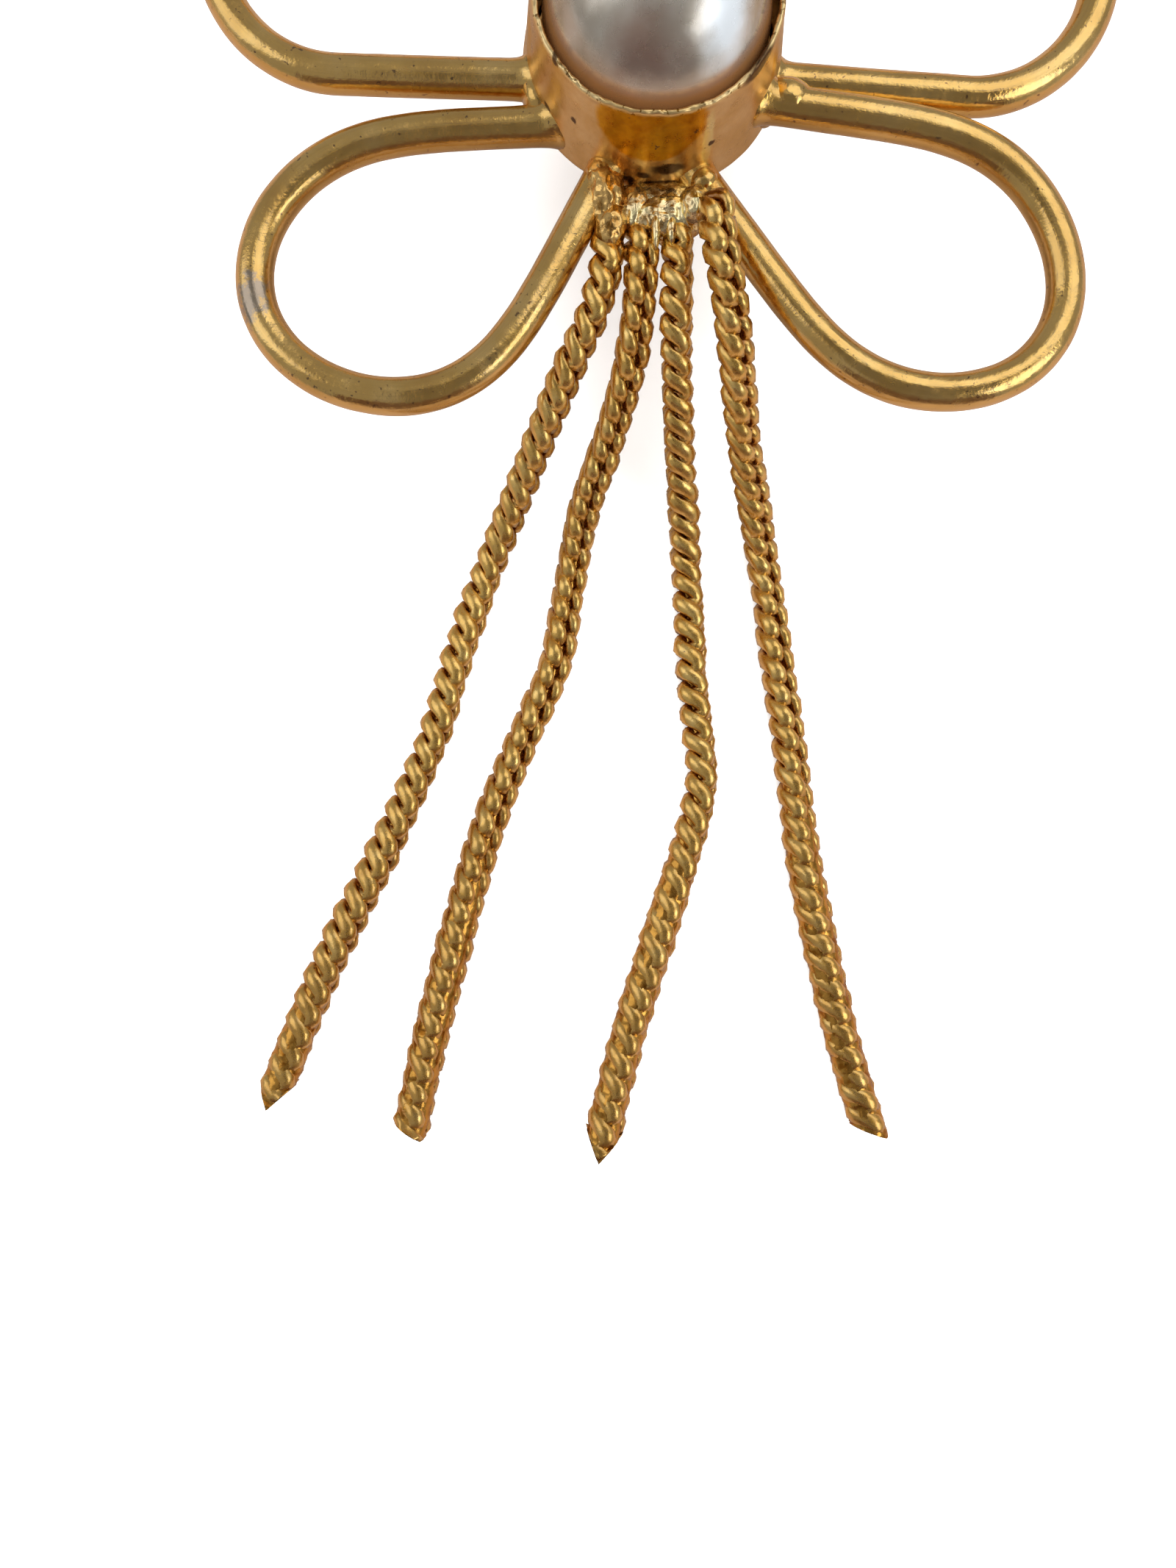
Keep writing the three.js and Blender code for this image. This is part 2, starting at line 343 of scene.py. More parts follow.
def polar(radius, angle):
    """The place at this radius and angle, which is radius times the cosine and the sine."""
    return np.stack([radius * np.cos(angle), radius * np.sin(angle)], axis=-1)


def carried(line, radii, sides):
    """A round profile carried along a line: a point stands at radius times the cosine of its
    angle up, and the sine across. Returns the grid and its along, cosine and sine marks."""
    _, across, up = level_frames(line)
    angle = around(sides)
    radii = np.broadcast_to(radii, (len(line), sides))
    up_part = (radii * np.cos(angle))[..., None] * up[:, None, :]
    across_part = (radii * np.sin(angle))[..., None] * across[:, None, :]
    grid = line[:, None, :] + up_part + across_part
    marks = [along_length(line)[:, None], np.cos(angle), np.sin(angle)]
    return grid, np.stack(np.broadcast_arrays(*marks), axis=-1)


def pole(profile):
    """A profile drawn in to the point in its middle, which closes a tube's end."""
    return np.broadcast_to(profile.mean(axis=0), profile.shape)[None]


# ---- Petals ---------------------------------------------------------------------------------


def tangent_point(root, centre, radius, side):
    """Where a straight leg from the root meets the circle, on its right side, -1, or its left
    one, 1: the leg is turned from the centre by the angle whose sine is radius over distance."""
    reach = centre - root
    length = np.hypot(*reach)
    turn = np.arctan2(reach[1], reach[0]) + np.arcsin(radius / length) * side
    return root + polar(np.sqrt(length**2 - radius**2), turn)


def petal_leg(root, end):
    """A leg's middle line from inside the wall to the loop: a straight line."""
    reach = end - root
    t = np.linspace(-LEG_START / np.hypot(*reach), 1.0, 60)[:-1, None]
    return root + reach * t


def eased(line, reach):
    """The line with its bends smoothed: each place is the average of the line to either side of
    it, the nearest counting most, out to this reach or to the nearer end."""
    even = evenly(line, EASE_STEPS + 1)
    i = np.arange(EASE_STEPS + 1)
    most = round(reach / along_length(line)[-1] * EASE_STEPS)
    span = np.minimum(np.minimum(i, EASE_STEPS - i), most)
    total = np.zeros_like(even)
    for k in range(-most, most + 1):
        weight = np.clip(span + 1 - abs(k), 0, None) / (span + 1) ** 2
        total += even[np.clip(i + k, 0, EASE_STEPS)] * weight[:, None]
    return total


def petal_line(petal):
    """Leg, round end, leg. The round end's radius swells along the lean by the cosine of the
    doubled angle from it, and the swelling fades to nothing where the legs begin."""
    centre = np.array(petal["centre"], float)
    roots = [polar(ROOT_RADIUS, np.radians(degrees)) for degrees in petal["roots"]]
    start = tangent_point(roots[0], centre, petal["radius"], -1)
    finish = tangent_point(roots[1], centre, petal["radius"], 1)
    first = np.arctan2(*(start - centre)[::-1])
    last = np.arctan2(*(finish - centre)[::-1])
    sweep = (last - first) % (2.0 * np.pi)
    t = np.linspace(0.0, 1.0, 160)
    angle = first + sweep * t
    swell = petal["stretch"] * np.cos(2.0 * (angle - np.radians(petal["lean"])))
    radius = petal["radius"] + swell * np.sin(np.pi * t) ** 2
    end = centre + polar(radius, angle)
    plan = np.concatenate([petal_leg(roots[0], start), end, petal_leg(roots[1], finish)[::-1]])
    line = eased(np.column_stack([plan, np.zeros(len(plan))]), petal["ease"])
    line[:, 2] = CUP_BACK + np.linspace(*petal["lifts"], len(line))
    return line


def wall_radius(height):
    """The cup's outer wall leans in evenly from the foot to the rim."""
    return FOOT_RADIUS + (RIM_RADIUS - FOOT_RADIUS) * height / CUP_HEIGHT


def petal_wire(name, petal, seed):
    """Wire along the petal's line. Its radius wanders a hundredth, it has small flats and
    dents, and it flares into a fillet of solder as its skin nears the cup's wall, by an amount
    that falls to a third over each FILLET_REACH. At the seam, where solder covers it, the
    fillet is slight."""
    line = evenly(petal_line(petal), WIRE_ROWS)
    line[:, 2] += wavy(line, seed, (0.04, 9.0))
    skin, _ = carried(line, WIRE_RADIUS, WIRE_SIDES)
    dents = wavy(skin, seed + 1, (0.012, 2.6), (0.008, 0.9))
    off_wall = np.hypot(skin[..., 0], skin[..., 1]) - wall_radius(skin[..., 2] - CUP_BACK)
    near_seam = np.clip((-skin[..., 1] - 4.0) / 1.5, 0.0, 1.0)
    fillet = FILLET - FILLET_LOST_AT_SEAM * near_seam
    flare = fillet * np.exp(-np.clip(off_wall, 0.0, None) / FILLET_REACH)
    flare = flare * (1.0 + wavy(skin, seed + 3, (0.35, 0.7))) * (off_wall > -0.6)
    grid, marks = carried(line, WIRE_RADIUS + dents + flare, WIRE_SIDES)
    grid = np.concatenate([pole(grid[0]), grid, pole(grid[-1])])
    marks = np.concatenate([marks[:1], marks, marks[-1:]])
    make_piece(name, [grid], gold_wire, ["flower_frame"], {"grain": [marks]})


# ---- Cup and pearl --------------------------------------------------------------------------


def turned(profile, sides):
    """A profile of radius and height turned about the cup's axis, anticlockwise from above."""
    plan = polar(profile[:, :1], around(sides))
    height = np.broadcast_to(profile[:, 1:, None], (*plan.shape[:2], 1))
    return np.concatenate([plan, height], axis=-1)


def path_between(points, steps):
    """Straight lines through the points, cut into steps by length, corners kept."""
    points = np.array(points, float)
    rows = [points[:1]]
    for start, end in zip(points[:-1], points[1:]):
        count = max(1, int(np.ceil(np.linalg.norm(end - start) / steps)))
        t = np.linspace(0.0, 1.0, count + 1)[1:, None]
        rows.append(start + (end - start) * t)
    return np.concatenate(rows)


def cup():
    """A thin wall leaning in from the foot to the rim. The rim's height and the wall's radius
    wander, most at the rim, where the cut edge is beaded and nicked. The wall mark gives a
    place's distance round the wall from the seam, its height and its radius."""
    grid = turned(path_between(CUP_PROFILE, CUP_STEP), CUP_SIDES)
    height = grid[..., 2].copy()
    radius = np.hypot(grid[..., 0], grid[..., 1])
    out = grid * (1.0, 1.0, 0.0) / np.maximum(radius, 0.01)[..., None]
    near_rim = np.clip((height - RIM_START) / (CUP_HEIGHT - RIM_START), 0.0, 1.0) ** 2
    on_wall = np.clip((radius - 5.4) / 0.5, 0.0, 1.0)
    dent = wavy(grid, 31, (0.03, 2.4), (0.012, 0.8))
    dent += near_rim * wavy(grid, 33, (0.035, 1.1), (0.05, 0.34))
    grid = grid + out * (dent * on_wall)[..., None]
    grid[..., 2] += near_rim * wavy(grid, 35, (0.09, 1.6), (0.09, 0.32))
    grid[..., 2] += CUP_BACK
    turn = np.arctan2(grid[..., 0], -grid[..., 1])
    marks = np.stack([turn * radius, height, radius], axis=-1)
    make_piece("cup", [grid], gold_cup, ["flower_frame"], {"wall": [marks]})


def pearl():
    """A ball cut flat at its back: radius and height go round a circle, and the surface wanders
    by under a hundredth of its radius, as nacre does."""
    middle = CUP_BACK + CUP_HEIGHT - PEARL_SUNK
    back = CUP_BACK + PEARL_CUT - middle
    angle = np.linspace(np.arcsin(back / PEARL_RADIUS), np.pi / 2.0, PEARL_ROWS)
    ball = polar(PEARL_RADIUS, angle)
    ball[-1, 0] = 0.0
    flat = np.linspace(0.0, ball[0, 0], 12)[:-1]
    flat = np.column_stack([flat, np.full(len(flat), back)])
    grid = turned(np.vstack([flat, ball]), PEARL_SIDES)
    swell = 1.0 + wavy(grid, 41, (0.006, 5.0))
    grid = grid * np.where(grid[..., 2:] > back + 0.01, swell[..., None], 1.0)
    grid[..., 2] += middle
    make_piece("pearl_cabochon", [grid], pearl_nacre, ["pearl"])


def lump(at, size, height, seed, crinkle, steps, grain=(1, 1, 1), turn=0.0):
    """A run of solder at this place, its height above the cup's back: a ball stretched to size,
    whose poles lie fore and aft, pushed in and out along its own spokes by crinkled heights,
    then turned these degrees anticlockwise. grain draws the creases out."""
    rows, columns = steps
    down = np.linspace(-np.pi / 2.0, np.pi / 2.0, rows)[:, None]
    angle = around(columns)[None, :]
    ball = [np.cos(down) * np.cos(angle), np.sin(down), np.cos(down) * np.sin(angle)]
    ball = np.stack(np.broadcast_arrays(*ball), axis=-1)
    ball[0] = (0.0, -1.0, 0.0)
    ball[-1] = (0.0, 1.0, 0.0)
    place = (ball * size + (at[0], at[1], height)) * grain
    push = crinkle * crinkled(place, 1.0, seed)
    grid = ball * (np.array(size) + push[..., None])
    c, s = np.cos(np.radians(turn)), np.sin(np.radians(turn))
    grid = grid @ np.array([[c, s, 0.0], [-s, c, 0.0], [0.0, 0.0, 1.0]])
    return grid + (at[0], at[1], CUP_BACK + height)


def solder():
    """Runs of solder where the strands meet the cup, crumpled like foil, and smooth beads in the
    corners of the wires."""
    foil = (1.5, 0.8, 1.0)

    # Each lump: its place, half sizes, height, seed, crinkle, rows and columns, and grain.
    left = [
        lump((-2.6, -7.7), (1.15, 1.7, 1.35), 1.0, 51, 0.16, (90, 90), foil),
        lump((-2.25, -9.2), (0.85, 1.35, 0.95), 1.15, 52, 0.12, (60, 60), foil),
        lump((-2.75, -6.75), (0.95, 0.95, 1.0), 1.05, 55, 0.12, (70, 80), foil),
    ]
    make_piece("solder_seam_left", left, gold_foil, ["flower_frame"])
    seam = [
        lump((-1.0, -8.3), (0.9, 1.4, 1.05), 0.65, 53, 0.1, (60, 80), foil),
        lump((0.75, -8.7), (1.95, 1.2, 1.05), 0.8, 54, 0.15, (110, 160), foil),
        lump((2.2, -8.35), (0.85, 1.1, 1.25), 1.1, 56, 0.13, (80, 100), foil),
        lump((0.4, -7.5), (2.7, 0.9, 0.65), 0.45, 59, 0.06, (60, 120), foil),
        lump((0.1, -9.65), (0.26, 1.0, 0.5), 1.45, 57, 0.04, (40, 30), foil),
        lump((0.95, -9.6), (0.3, 0.75, 0.5), 1.4, 58, 0.04, (40, 30), foil),
    ]
    make_piece("solder_seam", seam, gold_solder, ["flower_frame"])
    beads = [
        lump((6.9, -3.05), (1.4, 1.05, 1.05), 1.95, 61, 0.03, (60, 80), turn=-8.0),
        lump((6.25, -2.78), (0.6, 1.35, 1.2), 1.3, 62, 0.03, (50, 60), turn=-24.0),
        lump((-6.15, -2.62), (0.72, 1.25, 1.05), 1.1, 63, 0.03, (50, 60), turn=23.0),
        lump((2.7, -6.85), (0.8, 0.8, 0.85), 0.9, 64, 0.04, (60, 60)),
    ]
    make_piece("solder_beads", beads, gold_bead, ["flower_frame"])


# ---- Strands --------------------------------------------------------------------------------


def smooth_route(points, count):
    """A curve through the points: between two of them it is the cubic that leaves each along
    the line from the point before to the point after."""
    points = np.array(points, float)
    padded = np.vstack([points[:1], points, points[-1:]])
    t = np.linspace(0.0, len(points) - 1.0, count)
    i = np.minimum(t.astype(int), len(points) - 2)
    w = (t - i)[:, None]
    before, start, end, after = padded[i], padded[i + 1], padded[i + 2], padded[i + 3]
    leave = (end - before) / 2.0
    arrive = (after - start) / 2.0
    cubic = (2.0 * start - 2.0 * end + leave + arrive) * w**3
    square = (-3.0 * start + 3.0 * end - 2.0 * leave - arrive) * w**2
    return cubic + square + leave * w + start


def growth(line):
    """How much larger the links are at each point of the line: one at the top, easing to one
    and GROWTH at the swell's end."""
    return 1.0 + GROWTH * eased_share(line[:, 1], SWELL_START, SWELL_END)


def fullness(line):
    """How much wider the strand is at each point than at its top: as its links grow, and up to
    FILLING more where solder fills them."""
    filled = eased_share(line[:, 1], FILLING_START, FILLING_END)
    return growth(line) * (1.0 + FILLING * filled)


def flooding(share, strand):
    """How full of solder the links are at these shares of the way down: none, easing to full
    FLOOD_SHARE past the strand's flood."""
    return eased_share(share, strand["flood"], strand["flood"] + FLOOD_SHARE)


def strand_line(strand):
    """The route in plan, with its height eased from the seam down to the ground."""
    plan = smooth_route(strand["route"], 600)
    high = CUP_BACK + strand["lift"]
    low = LYING * fullness(plan)
    height = low + (high - low) * eased_share(plan[:, 1], DROP_END, DROP_START)
    return evenly(np.column_stack([plan, height]), STRAND_ROWS)


def snipped(along, across, end, snips):
    """Lengths along the strand held behind the cut: the end, less a slant times the distance
    left or right of the cut's point."""
    left, right, point = snips
    off = across - point
    return np.minimum(along, end - np.where(off > 0.0, left, -right) * off)


def cubed_size(parts):
    """The cube root of the parts' summed cubes, which is the same all along a rounded square."""
    return (np.abs(parts) ** 3).sum(axis=-1, keepdims=True) ** (1.0 / 3.0)


def curb_link():
    """A link about its own middle, as places along, across and up. Its middle line goes along
    by the cosine, across by the sine and up by the sine of the doubled angle less LEAN, so that
    it lies half over and half under its neighbours, and a rounded oblong is carried round it."""
    along, across, up = LINK_SIZE
    t = around(LINK_STEPS)
    wave = 2.0 * t - LEAN
    path = np.stack([along * np.cos(t), across * np.sin(t), up * np.sin(wave)], axis=-1)
    run = np.stack([-along * np.sin(t), across * np.cos(t), 2.0 * up * np.cos(wave)], axis=-1)
    run /= np.linalg.norm(run, axis=1, keepdims=True)
    outward = path * (0.3, 1.0, 1.0)
    outward -= run * (outward * run).sum(axis=1, keepdims=True)
    outward /= np.linalg.norm(outward, axis=1, keepdims=True)
    top = np.cross(outward, run)
    spoke = polar(1.0, around(LINK_WIRE_SIDES))
    spoke = spoke / cubed_size(spoke) * LINK_WIRE
    profile = spoke[:, :1] * outward[:, None, :] + spoke[:, 1:] * top[:, None, :]
    return path[:, None, :] + profile


def curb_links(line, strand, seed):
    """Curb links down the strand, one grid each, a pitch apart and alike but for growth and
    small random turns. Their outer faces are worn to a rounded square: a place w out from the
    middle, w being its cubed size across and up, is divided by the eighth root of one and the
    eighth power of w over the half width. Returns the grids and their in_strand marks: the
    distance from the strand's middle, the length down it and the distance across it."""
    ahead, across, up = level_frames(line)
    length = along_length(line)
    grown = growth(line)
    steps = np.concatenate([[0.0], np.cumsum(np.diff(length) / (LINK_PITCH * grown[1:]))])
    middles = np.interp(np.arange(0.3, steps[-1] - 0.2), steps, length)
    share = middles / length[-1]
    random = np.random.default_rng(seed)
    roll = np.interp(share, (0.0, 0.33, 0.67, 1.0), strand["rolls"])
    roll = np.radians(roll + random.normal(0.0, 4.0, len(middles)))[:, None]
    grow = np.interp(middles, length, grown) * (1.0 + random.normal(0.0, 0.02, len(middles)))
    widen = np.interp(middles, length, fullness(line) / grown)
    middle, ahead, across, up = (on_line(line, v, middles) for v in (line, ahead, across, up))
    side = across * np.cos(roll) + up * np.sin(roll)
    face = up * np.cos(roll) - across * np.sin(roll)
    link = curb_link()
    wide = cubed_size(link[..., 1:])
    half = (WORN_WIDTH - WORN_BY_SOLDER * flooding(share, strand))[:, None, None, None]
    links = np.repeat(link[None], len(middles), axis=0)
    links[..., 1:] *= (1.0 + (wide / half) ** 8) ** -0.125
    depth = np.linalg.norm(links[..., 1:], axis=-1)
    links *= grow[:, None, None, None]
    links[..., 1:] *= widen[:, None, None, None]
    down = middles[:, None, None] + links[..., 0]
    links = np.einsum("kabi,kij->kabj", links, np.stack([ahead, side, face], axis=1))
    sideways = np.einsum("kabj,kj->kab", links, across)
    held = snipped(down, sideways, length[-1] - 0.12, strand["snips"]) - down
    links += middle[:, None, None, :] + held[..., None] * ahead[:, None, None, :]
    return links, np.stack([depth, down, sideways], axis=-1)


def closed_rings(grid):
    """A closed loop of profiles as one grid: its first profile is repeated at its end."""
    return np.concatenate([grid, grid[:1]])


def solder_core(line, strand, seed):
    """Solder inside the links: a tube whose radius wanders and grows where it floods them, and
    whose end is held behind the cut and closed to a point there."""
    length = along_length(line)
    down = np.linspace(0.0, length[-1], CORE_ROWS)
    flood = np.concatenate([flooding(down / length[-1], strand), np.ones(len(CORE_END))])
    down = np.concatenate([down, np.full(len(CORE_END), length[-1])])
    shrink = np.concatenate([np.ones(CORE_ROWS), CORE_END])
    _, across, up = level_frames(line)
    middle, across, up = (on_line(line, v, down) for v in (line, across, up))
    angle = around(CORE_SIDES)
    spoke = np.cos(angle)[:, None] * across[:, None, :] + np.sin(angle)[:, None] * up[:, None, :]
    radius = (CORE_RADIUS + CORE_FLOOD * flood) * np.interp(down, length, fullness(line))
    skin = middle[:, None, :] + spoke * radius[:, None, None]
    bumps = wavy(skin, seed + 5, (0.04, 0.42), (0.04, 0.2))
    radius = (radius[:, None] + bumps * (0.4 + 0.6 * flood[:, None])) * shrink[:, None]
    down = np.broadcast_to(down[:, None], radius.shape)
    held = snipped(down, radius * np.cos(angle), length[-1], strand["snips"])
    grid = on_line(line, line, held) + spoke * radius[..., None]
    return np.concatenate([pole(grid[0]), grid])


def strand(name, values, seed):
    """Curb links over a core of solder, cut off at the tip by a pair of snips."""
    line = strand_line(values)
    piece = name.replace("chain", "strand")
    links, marks = curb_links(line, values, seed)
    links = [closed_rings(link) for link in links]
    marks = [closed_rings(mark) for mark in marks]
    make_piece(piece, links, gold_chain, [name], {"in_strand": marks})
    core = solder_core(line, values, seed)
    make_piece(piece + "_solder", [core], gold_flood, [name])


# ---- Ear post -------------------------------------------------------------------------------


def ear_post():
    """A pin with a rounded tip on a thin round pad, with a ring of solder at its foot."""
    height = post_high[2] / MM
    profile = path_between(
        [
            (0.0, 0.0), (0.2, 0.01), (0.36, 0.07), (0.45, 0.25), (0.45, 9.1), (0.5, 9.35),
            (0.7, 9.52), (1.0, 9.6), (2.35, 9.6), (2.47, 9.66), (2.5, 9.8), (2.5, 10.05),
            (2.45, height), (0.0, height),
        ],
        0.3,
    )
    grid = turned(profile, 48)
    grid[..., 1] += ((post_low[1] + post_high[1]) / 2 - AXIS[1]) / MM
    make_piece("post_and_pad", [grid], gold_post, ["ear_post"])


# ---- Materials ------------------------------------------------------------------------------


class Finish:
    """A material being built: add() makes a node, sets its settings and wires its inputs."""

    def __init__(self, name):
        self.material = bpy.data.materials.new(name)
        self.material.use_nodes = True
        self.tree = self.material.node_tree
        self.shader = self.tree.nodes["Principled BSDF"]
        self.place = self.add("ShaderNodeTexCoord").outputs["Object"]

    def add(self, kind, inputs=None, **settings):
        """A new node with these settings, its inputs joined by name or number."""
        node = self.tree.nodes.new(kind)
        for setting, value in settings.items():
            setattr(node, setting, value)
        for key, value in (inputs or {}).items():
            self.join(value, node.inputs[key])
        return node

    def join(self, value, socket):
        """Wires another node's socket in, or sets a plain value."""
        if isinstance(value, bpy.types.NodeSocket):
            self.tree.links.new(value, socket)
        else:
            socket.default_value = value

    def noise(self, size, detail=3.0, roughness=0.55, place=None, distortion=0.0):
        """Noise whose lumps are about this many millimetres across, at the object's own places
        or at others that are already in millimetres."""
        inputs = {
            "Vector": place or self.place,
            "Scale": 1.0 / (size * MM) if place is None else 1.0 / size,
            "Detail": detail,
            "Roughness": roughness,
            "Distortion": distortion,
        }
        return self.add("ShaderNodeTexNoise", inputs).outputs["Fac"]

    def ramp(self, factor, stops, ease="LINEAR"):
        """A ramp of colours or greys at places from 0 to 1."""
        node = self.add("ShaderNodeValToRGB", {"Fac": factor})
        node.color_ramp.interpolation = ease
        elements = node.color_ramp.elements
        while len(elements) < len(stops):
            elements.new(0.5)
        for element, (position, colour) in zip(elements, stops):
            element.position = position
            if isinstance(colour, (int, float)):
                colour = (colour, colour, colour)
            element.color = (*colour, 1.0)
        return node.outputs["Color"]

    def mix(self, factor, first, second, blend="MIX"):
        """The first colour where the factor is nothing, and the second where it is one."""
        node = self.add("ShaderNodeMix", data_type="RGBA", blend_type=blend)
        colours = [s for s in node.inputs if s.type == "RGBA"]
        self.join(factor, node.inputs[0])
        for socket, value in zip(colours, (first, second)):
            if not isinstance(value, bpy.types.NodeSocket):
                value = (*value, 1.0)
            self.join(value, socket)
        return next(s for s in node.outputs if s.type == "RGBA")

    def maths(self, operation, first, second):
        """One number worked out from two."""
        node = self.add("ShaderNodeMath", operation=operation)
        self.join(first, node.inputs[0])
        self.join(second, node.inputs[1])
        return node.outputs["Value"]

    def vector(self, operation, *values):
        """A node that works on whole vectors."""
        inputs = dict(enumerate(values))
        return self.add("ShaderNodeVectorMath", inputs, operation=operation)

    def mapped(self, place, scale, location=(0.0, 0.0, 0.0)):
        """The place times the scale plus the location."""
        inputs = {"Vector": place, "Scale": scale, "Location": location}
        return self.add("ShaderNodeMapping", inputs).outputs["Vector"]

    def wander(self, place, scale):
        """Vectors that wander over the surface, by up to about a half each way from nothing."""
        inputs = {"Vector": place, "Scale": scale, "Detail": 3.0}
        noise = self.add("ShaderNodeTexNoise", inputs).outputs["Color"]
        return self.vector("SUBTRACT", noise, (0.5, 0.5, 0.5)).outputs["Vector"]

    def ragged(self, place, wander, reach):
        """The place in plan, moved by the wander times this reach."""
        moved = self.vector("MULTIPLY_ADD", wander, (reach, reach, 0.0), place)
        return moved.outputs["Vector"]

    def off_middle(self, place, middle, size, unit=1.0):
        """How far a place is from an upright oval's middle, one being the oval's edge. The
        middle and the half sizes are given in this unit of the place."""
        scale = (1.0 / (size[0] * unit), 1.0 / (size[1] * unit), 0.0)
        location = (-middle[0] / size[0], -middle[1] / size[1], 0.0)
        return self.vector("LENGTH", self.mapped(place, scale, location)).outputs["Value"]

    def oval(self, place, middle, size, edge, unit=1.0):
        """One inside an oval, falling to nothing over its edge."""
        away = self.off_middle(place, middle, size, unit)
        return self.ramp(away, [(0.0, 1.0), (1.0 - edge, 1.0), (1.0, 0.0)], "EASE")

    def part(self, vector, axis):
        """A vector's X, Y or Z."""
        return self.add("ShaderNodeSeparateXYZ", {"Vector": vector}).outputs[axis]

    def mark(self, name):
        """One of the piece's own marks."""
        return self.add("ShaderNodeAttribute", attribute_name=name).outputs["Vector"]

    def bump(self, height, distance, after=None):
        """A bump whose heights, from 0 to 1, are this many millimetres deep."""
        inputs = {"Height": height, "Distance": distance * MM}
        if after is not None:
            inputs["Normal"] = after
        return self.add("ShaderNodeBump", inputs).outputs["Normal"]

    def finish(self, colour, roughness, normal=None, metallic=1.0, **constants):
        """The finished material. constants are the shader's own settings, with underscores for
        the spaces in their names."""
        self.join(colour, self.shader.inputs["Base Color"])
        self.join(roughness, self.shader.inputs["Roughness"])
        self.join(metallic, self.shader.inputs["Metallic"])
        for key, value in constants.items():
            self.shader.inputs[key.replace("_", " ")].default_value = value
        if normal is not None:
            self.join(normal, self.shader.inputs["Normal"])
        return self.material


def from_cup(x, y):
    """The place in millimetres that is this far right of the cup's axis and up from it."""
    return AXIS[0] / MM + x, AXIS[1] / MM + y


# A thin clear lacquer over the plating, which pales its highlights.
LACQUER = {"Coat_Weight": 0.7, "Coat_IOR": 1.7, "Coat_Roughness": 0.12}


def wire_finish(name, drawn=True):
    """Plated wire: long fine drawing lines, a plating that is paler and redder in patches, small
    pits, close together in places as freckles, one patch of the lower left petal rubbed through
    to grey, and a skin that is uneven enough to crinkle a highlight's edge."""
    f = Finish(name)
    if drawn:
        lines = f.noise(1.0, 4.0, 0.6, place=f.mapped(f.mark("grain"), (0.35, 9.0, 9.0)))
    else:
        lines = f.noise(0.3, 3.0)
    colour = f.ramp(
        f.noise(3.2, 3.0),
        [(0.3, (0.67, 0.40, 0.09)), (0.5, (0.77, 0.49, 0.13)), (0.7, (0.85, 0.58, 0.20))],
    )
    colour = f.mix(f.ramp(lines, [(0.3, 0.0), (0.75, 0.4)]), colour, (0.60, 0.35, 0.10))
    away = f.off_middle(f.place, from_cup(-20.9, -13.3), (1.1, 1.6), MM)
    rubbed = f.maths("ADD", away, f.maths("MULTIPLY", f.noise(0.6, 4.0, 0.7), 2.4))
    rubbed = f.ramp(f.maths("MULTIPLY", rubbed, 0.25), [(0.42, 0.8), (0.52, 0.0)])
    colour = f.mix(rubbed, colour, (0.30, 0.27, 0.25))
    freckles = f.ramp(f.noise(1.7, 3.0), [(0.42, 0.0), (0.7, 0.075)])
    pits = f.maths("ADD", f.noise(0.3, 2.0), freckles)
    pits = f.ramp(pits, [(0.70, 0.0), (0.76, 1.0)])
    colour = f.mix(pits, colour, (0.24, 0.13, 0.04))
    roughness = f.ramp(f.noise(0.9, 4.0, 0.6), [(0.3, 0.1), (0.72, 0.3)])
    normal = f.bump(lines, 0.008, f.bump(f.noise(0.5, 3.0, 0.6), 0.03))
    return f.finish(colour, roughness, normal, **LACQUER)


